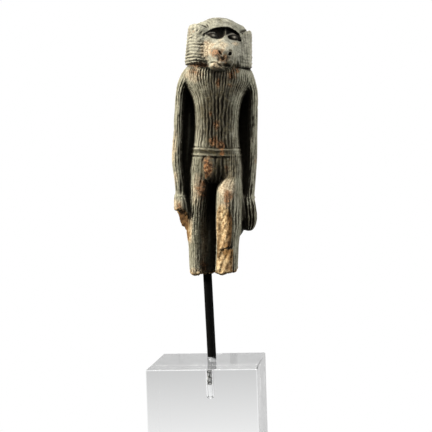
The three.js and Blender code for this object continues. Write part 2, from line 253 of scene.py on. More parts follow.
# Soft blots on the front of the figure, as (x, z, half width, half height, strength). Rust first.
STAINS = [
    (0.0, 68.3, 1.4, 2.4, 0.75),
    (3.6, 67.5, 1.9, 1.0, 0.7),
    (-2.4, 57.7, 0.9, 1.7, 0.75),
    (-0.4, 53.7, 1.5, 2.8, 0.8),
    (-1.0, 47.8, 1.9, 2.4, 0.85),
    (1.5, 46.3, 1.7, 2.2, 0.9),
    (1.9, 43.6, 1.1, 1.5, 0.9),
    (4.2, 71.5, 3.4, 2.0, 0.8),
    (6.0, 72.8, 2.4, 1.6, 0.75),
    (-2.7, 38.4, 2.3, 5.0, 0.78),
    (3.6, 38.6, 0.8, 2.2, 0.7),
    (-4.8, 30.5, 2.3, 6.0, 0.95),
    (4.2, 28.5, 2.0, 4.0, 0.9),
    (-4.9, 82.6, 0.9, 1.4, 0.55),
    (-0.6, 78.6, 3.2, 2.6, 0.85),
    (1.6, 76.6, 2.4, 2.0, 0.75),
    (-10.4, 86.2, 1.8, 2.6, 0.6),
    (-8.0, 74.7, 4.8, 1.0, 0.95),
    (-3.3, 3.0, 2.0, 2.6, 0.8),
    (-13.4, 24.6, 2.4, 3.0, 0.62),
    (-9.5, 73.0, 3.0, 2.0, 0.6),
    (13.9, 42, 0.9, 4.5, 0.6),
]
# Soil, and painted shade and shadow: the dark middle of the torso, the shadowed step beside the bare strip
# on the striding leg, the outer edge of the left lobe and the rear leg's shaded side
DIRT_AND_SHADE = [
    (-0.2, 57, 5.6, 13.0, 1.25),
    (1.2, 68, 7.5, 4.5, 0.95),
    (2.6, 47, 5.0, 4.5, 0.85),
    (3.2, 39.5, 4.8, 5.4, 1.3),
    (-6.5, 39.5, 2.4, 3.6, 0.45),
    (-1.0, 44.3, 9.0, 1.3, 0.85),
    (1.9, 77.2, 2.6, 2.2, 0.6),
    (-11.2, 81, 0.9, 6.5, 0.45),
    (-0.9, 35.5, 3.2, 3.4, 0.9),
    (-2.6, 38, 3.2, 5.8, 1.0),
    (5.2, 17.5, 1.1, 8.0, 1.3),
    (3.9, 79.3, 0.7, 0.4, 1.1),
    (5.4, 3.4, 1.8, 1.8, 0.8),
    (3.6, 8.0, 3.4, 3.0, 0.3),
    (5.6, 76.5, 2.0, 4.5, 0.4),
    (6.0, 14, 1.7, 12.0, 0.5),
    (7.6, 30, 2.0, 7.0, 0.4),
    (-3.8, 14, 2.4, 18.0, 0.5),
    (1.6, 17, 0.8, 9.0, 0.6),
    (0.8, 90.5, 8.5, 2.2, 0.28),
    (5.2, 88.2, 3.0, 3.0, 0.25),
    (12.6, 21, 3.0, 5.5, 0.6),
    (-11.4, 19, 2.4, 5.5, 1.0),
    (3.0, 74.2, 1.4, 1.4, 1.0),
    (4.4, 73.6, 2.8, 2.2, 1.2),
    (0.0, 72.0, 5.0, 0.9, 0.8),
    (4.5, 73.0, 3.0, 1.6, 0.5),
]
# Places that stay open to the light
OPEN_PLACES = [
    (-7.0, 71.5, 6.5, 4.0, 0.75),
    (4.0, 72.5, 7.0, 2.6, 0.8),
    (-0.6, 73.6, 3.6, 2.2, 0.75),
    (-7.0, 80.0, 3.0, 6.0, 0.5),
    (-3.8, 10, 2.6, 14, 0.75),
    (-11.8, 20.5, 3.0, 3.4, 0.85),
    (9.4, 15.6, 2.4, 2.4, 0.9),
    (-8.0, 75.6, 5.0, 1.8, 0.9),
    (4.6, 39, 5.0, 5.0, 0.3),
    (3.4, 9.9, 3.4, 1.3, 0.95),
]
# Pale crust, and painted light: the left of the chest and shoulder below the lobe, a highlight under the
# right eye and the rear leg's shaded side
PALE_AND_LIT = [
    (-0.8, 73.9, 2.6, 1.6, 1.2),
    (-8.5, 71.5, 6.0, 3.4, 0.85),
    (-15.4, 45, 1.6, 8.0, 0.75),
    (-14.8, 33, 1.6, 4.0, 0.8),
    (-14.0, 24.8, 2.6, 3.0, 1.1),
    (-4.8, 79, 3.0, 6.0, 0.8),
    (1.0, 80, 3.6, 4.0, 0.7),
    (3.9, 31, 3.2, 6.5, 1.1),
    (2.6, 18, 3.2, 10.0, 1.0),
    (3.4, 3, 3.6, 6.0, 1.0),
    (-8.7, 17, 0.9, 6.5, 1.2),
    (5.4, 82.4, 1.8, 1.0, 0.75),
    (-6.2, 30, 3.0, 7.5, 0.9),
    (-3.6, 12, 1.8, 13.0, 0.9),
    (-5.5, 1.0, 4.5, 1.4, 1.1),
    (6.0, 1.0, 4.0, 1.4, 1.1),
    (14.4, 27.5, 1.6, 3.0, 0.6),
    (-8.6, 14, 1.6, 9.0, 0.5),
]

# Depths of the surface's roughness, in millimetres
WEAR = {"broad": 0.1, "fine": 0.05, "pits": 0.16, "crumbs": 0.12, "fine_crumbs": 0.2, "grit": 0.24}

# Colours of the faience in linear light, single ones and pairs that noise mixes. Several are partly painted
# light and shade: the dark of grooves, hollows and soil, the light of ridges and pale crust, and the glints
# of the eyes
PALETTE = {
    "glaze": ((0.084, 0.087, 0.061), (0.148, 0.145, 0.112)),
    "glaze_patch": (0.197, 0.195, 0.153),
    "glaze_streak": (0.045, 0.042, 0.025),
    "head": ((0.142, 0.142, 0.114), (0.275, 0.27, 0.226)),
    "worn_edge_and_highlight": (0.36, 0.345, 0.275),
    "speck": (0.045, 0.04, 0.022),
    "cream_and_light": ((0.48, 0.41, 0.30), (0.25, 0.19, 0.125)),
    "soil_and_shade": ((0.011, 0.0085, 0.0035), (0.04, 0.031, 0.0135)),
    "soiled_edge_and_highlight": (0.205, 0.195, 0.148),
    "rust": ((0.04, 0.017, 0.007), (0.19, 0.085, 0.036)),
    "rust_speck": (0.42, 0.28, 0.16),
    "bare": ((0.085, 0.042, 0.013), (0.22, 0.13, 0.052)),
    "chalk": ((0.23, 0.155, 0.08), (0.43, 0.33, 0.195)),
    "bare_speck": (0.11, 0.05, 0.018),
    "bare_dirt_and_shade": (0.045, 0.022, 0.008),
    "groove": (0.014, 0.011, 0.005),
    "shade": (0.009, 0.007, 0.004),
    "paint": ((0.001, 0.0008, 0.0005), (0.008, 0.005, 0.003)),
    "eye_highlight": (0.30, 0.28, 0.24),
}
GLAZE_SPECULAR = 0.08

# The rest of the materials
BLACK_PAINT = ((0.0015, 0.0015, 0.0015), (0.004, 0.004, 0.004))
# Bare steel: its light end is painted glints on the thread
STEEL_AND_GLINTS = ((0.03, 0.03, 0.03), (0.6, 0.6, 0.6))
PAINT_SPECULAR = 0.01
ACRYLIC_TINT = (0.97, 0.975, 0.975)
ACRYLIC_IOR = 1.49

# Lamps: name, azimuth and elevation in degrees, distance and size in metres, power in watts, colour
LAMPS = [
    ("key", -71, 28, 0.65, 0.16, 16.0, (1, 0.94, 0.82)),
    ("side", 80, 22, 0.7, 0.2, 8.0, (1, 0.98, 0.93)),
    ("top", 0, 74, 0.6, 0.3, 2.4, (1, 0.98, 0.93)),
]
LAMP_TARGET = (0, 0, 0.115)

# How bright the white surroundings are for each kind of ray
SKY = {"camera": 1.0, "glossy": 0.72, "diffuse": 0.06}

# Rays through the cube see the first level at the first height and the second at the second
SKY_THROUGH = {"heights": (-0.155, -0.225), "levels": (0.60, 0.92)}
FLOOR_HALF = 1.5

# The camera fitted to the photo: its place and lens in millimetres, its yaw, pitch and roll in degrees
CAMERA_PLACE = (52.1, -404.5, 100.23)
CAMERA_TURN = (-6.712, -1.503, -1.759)
CAMERA_LENS = 95.96
CAMERA_SENSOR = 36

# The grid on which the field is carved: its box, and its steps on the body and on the head
GRID_LOW = (-16.9, -15.4, -0.8)
GRID_HIGH = (15.8, 11.0, 93.6)
STEP_ACROSS = 0.256
STEP_DEEP = 0.29
STEP_UP_BODY = 0.53
STEP_UP_HEAD = 0.295
HEAD_FROM = 71.5


def curve(stations, at):
    """Fields of the stations at some heights, on a smooth curve through the stations."""
    table = np.array(stations, dtype=np.float32)
    heights = table[:, 0]
    spans = heights[2:] - heights[:-2]
    slopes = np.empty_like(table)
    slopes[1:-1] = (table[2:] - table[:-2]) / spans[:, None]
    slopes[0] = (table[1] - table[0]) / (heights[1] - heights[0])
    slopes[-1] = (table[-1] - table[-2]) / (heights[-1] - heights[-2])
    k = np.clip(np.searchsorted(heights, at, side="right") - 1, 0, len(heights) - 2)
    step = heights[k + 1] - heights[k]
    t = np.clip((at - heights[k]) / step, 0, 1)
    fields = []
    for field in range(1, table.shape[1]):
        p, q = table[k, field], table[k + 1, field]
        dp, dq = slopes[k, field] * step, slopes[k + 1, field] * step
        bend = 2 * p + dp - 2 * q + dq
        fields.append(p + t * (dp + t * (3 * q - 3 * p - 2 * dp - dq + t * bend)))
    return fields


def smooth_min(a, b, soft):
    h = np.clip(0.5 + 0.5 * (b - a) / soft, 0, 1)
    return b + (a - b) * h - soft * h * (1 - h)


def smooth_max(a, b, soft):
    return -smooth_min(-a, -b, soft)


def ease(low, high, value):
    t = np.clip((value - low) / (high - low), 0, 1)
    return t * t * (3 - 2 * t)


def bump(value, centre, width):
    return np.exp(-(((value - centre) / width) ** 2))


def section(across, along, half_width, half_depth, squareness):
    """Distance, to first order, from a superellipse."""
    u = np.abs(across) / half_width + 1e-4
    v = np.abs(along) / half_depth + 1e-4
    up, vp = u ** (squareness - 1), v ** (squareness - 1)
    total = up * u + vp * v
    r = total ** (1 / squareness)
    slope = total ** (1 / squareness - 1) * np.sqrt((up / half_width) ** 2 + (vp / half_depth) ** 2)
    return (r - 1) / np.maximum(slope, 0.3 / np.maximum(half_width, half_depth))


def rounded_box(x, y, z, low, high, rounding):
    parts = []
    for value, a, b in zip((x, y, z), low, high):
        parts.append(np.abs(value - (a + b) / 2) - ((b - a) / 2 - rounding))
    outside = np.sqrt(sum(np.maximum(part, 0) ** 2 for part in parts))
    inside = np.minimum(np.maximum(np.maximum(parts[0], parts[1]), parts[2]), 0)
    return outside + inside - rounding


def ellipsoid(x, y, z, place, radii, squareness=2.0):
    """Distance, to first order, from a superellipsoid, and at least that from the box around it."""
    total = 1e-6
    slope = 0
    box = -min(radii)
    for value, centre, radius in zip((x, y, z), place, radii):
        part = np.abs(value - centre) / radius + 1e-4
        total = total + part ** squareness
        slope = slope + (part ** (squareness - 1) / radius) ** 2
        box = np.maximum(box, np.abs(value - centre) - radius)
    r = total ** (1 / squareness)
    slope = total ** (1 / squareness - 1) * np.sqrt(slope)
    return np.maximum((r - 1) / np.maximum(slope, 0.3 / max(radii)), box)


def flute(across, along, half_width, half_depth, z, count, narrow=2.0):
    """Carved fur: 1 at the bottom of a groove and 0 on the ridges. The grooves are widest at narrow 1."""
    turn = np.arctan2(along / half_depth, across / half_width)
    sway = 0.13 * np.sin(0.21 * z + 3 * turn) + 0.07 * np.sin(0.83 * z - 8 * turn + 1)
    sway = sway + 0.05 * np.sin(2.3 * z + 11 * turn)
    sway = sway + 0.1 * np.sin(0.6 * z + 7 * turn) * np.sin(0.37 * z - 2 * turn)
    place = count * turn / math.tau + sway
    number = np.round(place)
    chance = np.sin(number * 12.9898 + count) * 0.5 + 0.5
    strength = 0.62 + 0.38 * np.sin((0.35 + 0.3 * chance) * z + 40 * chance)
    return strength * (np.cos(np.pi * (place - number)) ** 2) ** narrow


def capped(distance, z, low, high, soft):
    return smooth_max(distance, np.abs(z - (low + high) / 2) - (high - low) / 2, soft)


def limb(x, y, z, stations, count, depth, squareness=2.3):
    cx, cy, half_width, half_depth = curve(stations, z)
    across, along = x - cx, y - cy
    distance = section(across, along, half_width, half_depth, squareness)
    if np.any(depth):
        distance = distance + depth * flute(across, along, half_width, half_depth, z, count)
    return capped(distance, z, stations[0][0], stations[-1][0], 1.0)


def torso(x, y, z, depth):
    cx, cy, half_width, half_depth = curve(TORSO, z)
    across, along = x - cx, y - cy
    distance = section(across, along, half_width, half_depth, 2.3)
    if np.any(depth):
        level = z + BELT_DIP * np.clip(1 - (across / half_width) ** 2, 0, 1) * (along < 0)
        bare = ease(BELT_LOW - 0.7, BELT_LOW - 0.2, level)
        bare = bare * (1 - ease(BELT_HIGH + 0.2, BELT_HIGH + 0.7, level))
        middle = bump(across, 0.2, 4.8)
        fur = flute(across, along, half_width, half_depth, z, TORSO_FLUTES, 2 - 1.1 * middle)
        wide = ease(63, 67, z)
        fur = fur * (1 - wide) + wide * flute(across, along, half_width, half_depth, z, SHOULDER_FLUTES)
        fur = fur * (0.4 + 0.95 * middle + 0.55 * wide * (0.7 - middle))
        ridges = bump(level, BELT_HIGH - 0.25, 0.32) + bump(level, BELT_LOW + 0.25, 0.32)
        grooves = bump(level, BELT_HIGH + 0.4, 0.25) + bump(level, BELT_LOW - 0.4, 0.25)
        distance = distance + depth * fur * (1 - bare) - BELT_PROUD * ridges + 0.2 * grooves
    return capped(distance, z, TORSO[0][0], TORSO[-1][0], 1.0)


def arm(x, y, z, stations, hand_place, depth):
    cuff = 0.35 * bump(z, 28.2, 0.55) * np.any(depth)
    upper = limb(x, y, z, stations, ARM_FLUTES, depth * 0.85) - cuff
    hand = [[h, hand_place[0] + dx, hand_place[1] + dy, rx, ry] for h, dx, dy, rx, ry in HAND]
    fist = limb(x, y, z, hand, 12, depth * 1.7, 2.5)
    return smooth_min(upper, fist, 0.4)


def plane_break(x, y, start, end):
    """Distance in front of an upright plane through two points of the plan."""
    dx, dy = end[0] - start[0], end[1] - start[1]
    return ((x - start[0]) * dy - (y - start[1]) * dx) / math.hypot(dx, dy)


def shin_break(x, y, z, step):
    return plane_break(x, y, step["from"], step["to"]) - step["fade"] * ease(20, 29, z)


def striding_leg(x, y, z, depth):
    distance = limb(x, y, z, STRIDING_LEG, LEG_FLUTES, depth)
    for step in SHIN_BREAKS:
        rough = 0.16 * np.sin(1.9 * z + 1.3 * x) + 0.12 * np.sin(3.1 * x - 1.1 * z + 2)
        ahead = shin_break(x, y, z, step) + rough
        top = step["high"] + step["slope"] * (x - 3)
        within = np.abs(z - (step["low"] + top) / 2) - (top - step["low"]) / 2
        distance = smooth_max(distance, np.minimum(ahead, -within), 0.35)
    return distance


def hand_break(x, y, z):
    """Distance outside the sloping break across the left hand, which also faces forward."""
    (high_x, high_z), (low_x, low_z) = HAND_BREAK
    dx, dz = low_x - high_x, low_z - high_z
    beside = ((x - high_x) * dz - (z - high_z) * dx) / math.hypot(dx, dz)
    top = 22.9 - 0.15 * (x + 14) + 0.1 * np.maximum(0, -1 - y) - z
    return np.minimum((beside + 0.45 * (3 - y)) / 1.1, top)


def break_height(x, y):
    beyond = np.maximum(0, np.maximum(x - BREAK_RISE["right"], BREAK_RISE["left"] - x))
    outer = beyond * BREAK_RISE["slope"] + x * BREAK_RISE["tilt"]
    lumps = 0.35 * np.sin(1.3 * x + 0.7) + 0.3 * np.cos(1.1 * y + 0.5 * x)
    return BREAK_LEVEL + outer + lumps + 0.14 * np.sin(3.3 * x) * np.sin(2.9 * y)


def axes_of(turn, tilt):
    """Rotation about z, then about the turned y."""
    return np.array((Matrix.Rotation(turn, 3, "Z") @ Matrix.Rotation(tilt, 3, "Y")), dtype=np.float32)


HEAD_AXES = axes_of(HEAD_TURN, HEAD_TILT)


def on_head(x, y, z):
    dx, dy, dz = x - HEAD_CENTRE[0], y - HEAD_CENTRE[1], z - HEAD_CENTRE[2]
    return [HEAD_AXES[0, i] * dx + HEAD_AXES[1, i] * dy + HEAD_AXES[2, i] * dz for i in range(3)]


def muzzle(x, y, z):
    px, py, pz = MUZZLE_PLACE
    reach = py - y
    cx, cz, half_width, half_height = curve(MUZZLE, reach)
    distance = section(x - px - cx, z - pz - cz, half_width, half_height, 2.3)
    return capped(distance, reach, MUZZLE[0][0], MUZZLE[-1][0], 1.6)


def mane(x, y, z, side, depth):
    shape = MANE_SIDES[side]
    inner, outer = shape["across"]
    x = x + side * MANE["flare"] * z
    from_middle = x - side * (inner + outer) / 2
    distance = section(from_middle, y, (outer - inner) / 2, MANE["half_depth"], shape["squareness"])
    low, high = shape["height"]
    top = z + MANE["top_slope"] * np.maximum(0, outer - 1.5 - side * x) - high
    distance = smooth_max(distance, np.maximum(top, low - z), MANE["rounding"])
    if np.any(depth):
        level = (z + 1.1 + 0.05 * x) / MANE_PITCH + 0.09 * np.sin(1.3 * x + 0.4 * z)
        level = level + 0.07 * np.sin(1.1 * y + z)
        lines = np.cos(np.pi * level) ** 4 * (0.7 + 0.3 * np.sin(0.9 * z + 0.6 * x))
        if side < 0:
            upper = ease(-0.6, 1.4, z)
            dashes = np.cos(np.pi * (x - 0.6 * z) / 1.7) ** 6
            dashes = dashes * (0.4 + 0.6 * np.sin(2.2 * z + 1.5 * x)) * (x < -6)
            lines = lines * (1 - upper * (0.5 + 0.5 * ease(-11.0, -9.8, x)))
            lines = lines + 0.6 * dashes * upper * ease(5.6, 4.6, z)
        else:
            smooth = 1 - ease(-6.0, -2.5, y)
            lines = lines * (1 - 0.85 * smooth) + 0.17 * smooth * np.cos(np.pi * (x + 0.1 * z) / 0.95) ** 4
        distance = distance + 0.34 * lines
    return distance


def arch_depth(x, z):
    """How far inside the recess round the eyes a point of the face is."""
    low, high = curve(EYE_ARCH, x)
    within = (x > EYE_ARCH[0][0]) & (x < EYE_ARCH[-1][0])
    return np.where(within, np.minimum(high - z, z - low), -1)


def head(x, y, z, depth):
    x, y, z = on_head(x, y, z)
    skull = ellipsoid(x, y, z, CROWN["centre"], CROWN["radii"], CROWN["squareness"])
    if np.any(depth):
        reach = np.sqrt(x * x + (z - 1) ** 2)
        strokes = np.cos(21 * np.arctan2(z - 1, x) + 0.8 * np.sin(1.7 * reach)) ** 4 * ease(6.8, 7.6, reach)
        skull = skull + 0.12 * ease(-2, -5, x) * strokes * ease(-1, 2, z)
    skull = smooth_min(skull, rounded_box(x, y, z, NAPE["low"], NAPE["high"], 3.0), 1.0)
    for side in (-1, 1):
        skull = smooth_min(skull, mane(x, y, z, side, depth), 0.5)
    face = skull + EYE_RECESS_DEPTH * ease(0, 0.9, arch_depth(x, z)) * (y < 0)
    for side in (-1, 1):
        cheek = ellipsoid(x, y, z, (side * 4.1 - 0.3, -4.2, -3.2), CHEEK_RADII)
        face = smooth_min(face, cheek, 1.2)
    face = smooth_min(face, muzzle(x, y, z), 1.0)
    face = smooth_min(face, ellipsoid(x, y, z, *BRIDGE), 0.6)
    for place, height in EYES:
        lid = ellipsoid(x, y, z, (place, -6.3, height), LID_RADII)
        ball = ellipsoid(x, y, z, (place, -6.4, height), EYEBALL_RADII)
        rim = np.maximum(lid, -ellipsoid(x, y, z, (place, -8.2, height - 0.1), LID_OPENING_RADII))
        face = smooth_min(face, smooth_min(rim, ball, 0.15), 0.25)
    face = smooth_min(face, ellipsoid(x, y, z, *CHIN), 0.9)
    face = smooth_max(face, -ellipsoid(x, y, z, *LIP_HOLLOW), 0.6)
    if np.any(depth):
        gap = z - curve(MOUTH, x)[0]
        lips = ease(-8, -9.5, y) * ease(-6.0, -5.0, x) * ease(2.8, 1.8, x)
        face = face + 0.28 * bump(gap, 0, 0.25) * lips
        strokes = bump(x + 2.4, 0, 0.3) + bump(x + 1.25, 0, 0.25) + bump(x - 0.4, 0, 0.35)
        face = face + 0.22 * strokes * bump(z, -6.2, 1.0) * (y < -10)
    face = smooth_min(face, ellipsoid(x, y, z, *LIP), 0.8)
    face = smooth_min(face, ellipsoid(x, y, z, *SEPTUM), 0.3)
    for place, height, width, tall, slant in NOSTRILS:
        across = x - place - slant * (z - height)
        hole = ellipsoid(across, y, z, (0, NOSE_FRONT, height), (width, NOSTRIL_DEPTH, tall))
        face = smooth_max(face, -hole, 0.35)
    return face


def figure(x, y, z, depth=FLUTE_DEPTH):
    """Distance from the amulet's surface. With no depth, the surface is the same without its fur."""
    low, high = float(np.min(z)), float(np.max(z))
    if np.any(depth):
        bare = sum(bump(x, px, wide) * bump(z, pz, tall) for px, pz, wide, tall in RUBBED)
        depth = depth * (1 - 0.85 * np.clip(bare, 0, 1) * (y < 1))
    body = 8 + 0 * (x + y + z)
    if high > TORSO[0][0] - 2:
        body = torso(x, y, z, depth)
    if low < REAR_LEG[-1][0] + 2:
        body = smooth_min(body, limb(x, y, z, REAR_LEG, LEG_FLUTES, depth), 0.8)
        body = smooth_min(body, limb(x, y, z, HIP, LEG_FLUTES, depth), 1.5)
        body = smooth_min(body, striding_leg(x, y, z, depth), 0.8)
        body = smooth_min(body, rounded_box(x, y, z, *LEG_WEB, 0.5), 0.7)
        body = smooth_min(body, ellipsoid(x, y, z, GROIN_PLACE, GROIN_RADII), 0.7)
    if low < 76 and high > 12:
        web = rounded_box(x, y, z, *ARM_WEB, 0.6)
        left = smooth_min(arm(x, y, z, LEFT_ARM, LEFT_HAND, depth), web, 0.6)
        left = smooth_min(left, rounded_box(x, y, z, *HAND_WEB, 0.6), 0.5)
        rough = 0.12 * np.sin(1.7 * y + 1.1 * z + 2.3 * x) + 0.1 * np.sin(2.9 * x - 2.1 * z)
        left = smooth_max(left, hand_break(x, y, z) + rough, 0.3)
        body = smooth_min(body, left, 0.6)
        right = arm(x, y, z, RIGHT_ARM, RIGHT_HAND, depth)
        right = smooth_min(right, rounded_box(x, y, z, *RIGHT_WEB, 1.4), 1.6)
        body = smooth_min(body, right, 2.2)
    body = smooth_min(body, rounded_box(x, y, z, *BACK_PILLAR, 0.8), 0.8)
    if high > 68:
        body = smooth_min(body, head(x, y, z, depth), 0.3)
    if low < 16:
        body = smooth_max(body, break_height(x, y) - z, 0.25)
        body = smooth_max(body, -socket(x, y, z), 0.15)
    return body


def place(foot, turn, lean):
    """The matrix of a part that stands at a foot, turned about z and leaning about its own y."""
    return Matrix.Translation(foot) @ Matrix.Rotation(turn, 4, "Z") @ Matrix.Rotation(lean, 4, "Y")


rod_place = place((*ROD_FOOT, BLOCK), 0, ROD_LEAN)
amulet_place = place(AMULET_FOOT, AMULET_TURN, AMULET_LEAN)
rod_top = (AMULET_FOOT[2] - BLOCK) / math.cos(ROD_LEAN) + ROD_IN_AMULET


def socket(x, y, z):
    """Distance from the bore for the rod, in the amulet's frame."""
    to_amulet = amulet_place.inverted() @ rod_place
    end = to_amulet @ Vector((0, 0, rod_top + SOCKET_GAP))
    along = (to_amulet.to_3x3() @ Vector((0, 0, 1))).normalized()
    px, py, pz = x - end.x, y - end.y, z - end.z
    up = px * along.x + py * along.y + pz * along.z
    away = np.sqrt(np.maximum(px * px + py * py + pz * pz - up * up, 0))
    return np.maximum(away - ROD_RADIUS - SOCKET_CLEARANCE, up)


def steps(low, high, size):
    return np.linspace(low, high, int(round((high - low) / size)) + 1, dtype=np.float32)


def carve_grid():
    xs = steps(GRID_LOW[0], GRID_HIGH[0], STEP_ACROSS)
    ys = steps(GRID_LOW[1], GRID_HIGH[1], STEP_DEEP)
    body = steps(GRID_LOW[2], HEAD_FROM, STEP_UP_BODY)
    zs = np.concatenate([body, steps(HEAD_FROM, GRID_HIGH[2], STEP_UP_HEAD)[1:]])
    values = np.empty((len(xs), len(ys), len(zs)), dtype=np.float32)
    slab = 16
    for start in range(0, len(zs), slab):
        part = slice(start, start + slab)
        values[:, :, part] = figure(xs[:, None, None], ys[None, :, None], zs[None, None, part])
    return (xs, ys, zs), values


def surface_net(axes, values):
    """A closed quad mesh of the field's zero level: one vertex in each cell that the surface crosses."""
    inside = values < 0
    count = np.zeros(tuple(n - 1 for n in values.shape), dtype=np.int8)
    corners = [(i, j, k) for i in (0, 1) for j in (0, 1) for k in (0, 1)]
    shape = count.shape
    for i, j, k in corners:
        count += inside[i:i + shape[0], j:j + shape[1], k:k + shape[2]]
    cells = np.argwhere((count > 0) & (count < 8))
    number = np.full(shape, -1, dtype=np.int32)
    number[tuple(cells.T)] = np.arange(len(cells))
    total = np.zeros((len(cells), 3), dtype=np.float64)
    crossings = np.zeros(len(cells))
    for corner in corners:
        for axis in range(3):
            if corner[axis]:
                continue
            first = cells + np.array(corner)
            second = first.copy()
            second[:, axis] += 1
            a, b = values[tuple(first.T)], values[tuple(second.T)]
            cut = (a < 0) != (b < 0)
            part = np.where(cut, a / np.where(cut, a - b, 1), 0)
            for other in range(3):
                start, end = axes[other][first[:, other]], axes[other][second[:, other]]
                total[:, other] += np.where(cut, start + part * (end - start), 0)
            crossings += cut
    points = total / crossings[:, None]
    quads = []
    for axis in range(3):
        u, v = [a for a in range(3) if a != axis]
        low = [slice(None)] * 3
        high = [slice(None)] * 3
        low[axis], high[axis] = slice(None, -1), slice(1, None)
        a, b = inside[tuple(low)], inside[tuple(high)]
        edges = np.argwhere(a != b)
        edges = edges[(edges[:, u] > 0) & (edges[:, v] > 0)]
        around = []
        for du, dv in ((-1, -1), (0, -1), (0, 0), (-1, 0)):
            cell = edges.copy()
            cell[:, u] += du
            cell[:, v] += dv
            around.append(number[tuple(cell.T)])
        quad = np.stack(around, axis=1)
        outwards = a[tuple(edges.T)] ^ (axis == 1)
        quad[~outwards] = quad[~outwards][:, ::-1]
        quads.append(quad)
    return points, np.concatenate(quads)


def gradient(points, depth=FLUTE_DEPTH, reach=0.02):
    parts = []
    for axis in range(3):
        ahead, behind = points.copy(), points.copy()
        ahead[:, axis] += reach
        behind[:, axis] -= reach
        parts.append((figure(*ahead.T, depth) - figure(*behind.T, depth)) / (2 * reach))
    return np.stack(parts, axis=1)


def settle(points, rounds=2, longest=0.12):
    """Moves the vertices onto the field's exact surface."""
    for _ in range(rounds):
        slope = gradient(points)
        size = np.sum(slope * slope, axis=1) + 1e-3
        move = (figure(*points.T) / size)[:, None] * slope
        far = np.linalg.norm(move, axis=1)
        points = points - move * np.minimum(1, longest / np.maximum(far, 1e-9))[:, None]
    return points


def lattice(points, size, seed):
    """Smooth noise from -1 to 1 whose cells have the given size."""
    q = points / size
    cell = np.floor(q).astype(np.int64)
    t = q - cell
    t = t * t * (3 - 2 * t)
    total = np.zeros(len(points))
    for i in (0, 1):
        for j in (0, 1):
            for k in (0, 1):
                mixed = (cell[:, 0] + i) * 73856093 ^ (cell[:, 1] + j) * 19349663
                mixed = mixed ^ (cell[:, 2] + k) * 83492791
                mixed = (mixed ^ seed * 2654435761) & 0xFFFFFF
                mixed = (mixed * 1103515245 + 12345) & 0x7FFFFFFF
                mixed = (mixed >> 7) ^ mixed
                value = ((mixed * 69069 + 1) & 0xFFFFFF) / 0x7FFFFF - 1
                weight = (t[:, 0] if i else 1 - t[:, 0]) * (t[:, 1] if j else 1 - t[:, 1])
                total += value * weight * (t[:, 2] if k else 1 - t[:, 2])
    return total


def fractal(points, size, seed, octaves=3):
    total, share = 0, 0.5
    for octave in range(octaves):
        total = total + share * lattice(points, size / 2 ** octave, seed + octave)
        share /= 2
    return total


def spots(points, places):
    """Soft blots on the front of the figure, each given as (x, z, half width, half height, strength)."""
    x, y, z = points.T
    total = np.zeros(len(points))
    for px, pz, half_width, half_height, strength in places:
        reach = ((x - px) / half_width) ** 2 + ((z - pz) / half_height) ** 2
        total = np.maximum(total, strength * np.exp(-reach))
    return total


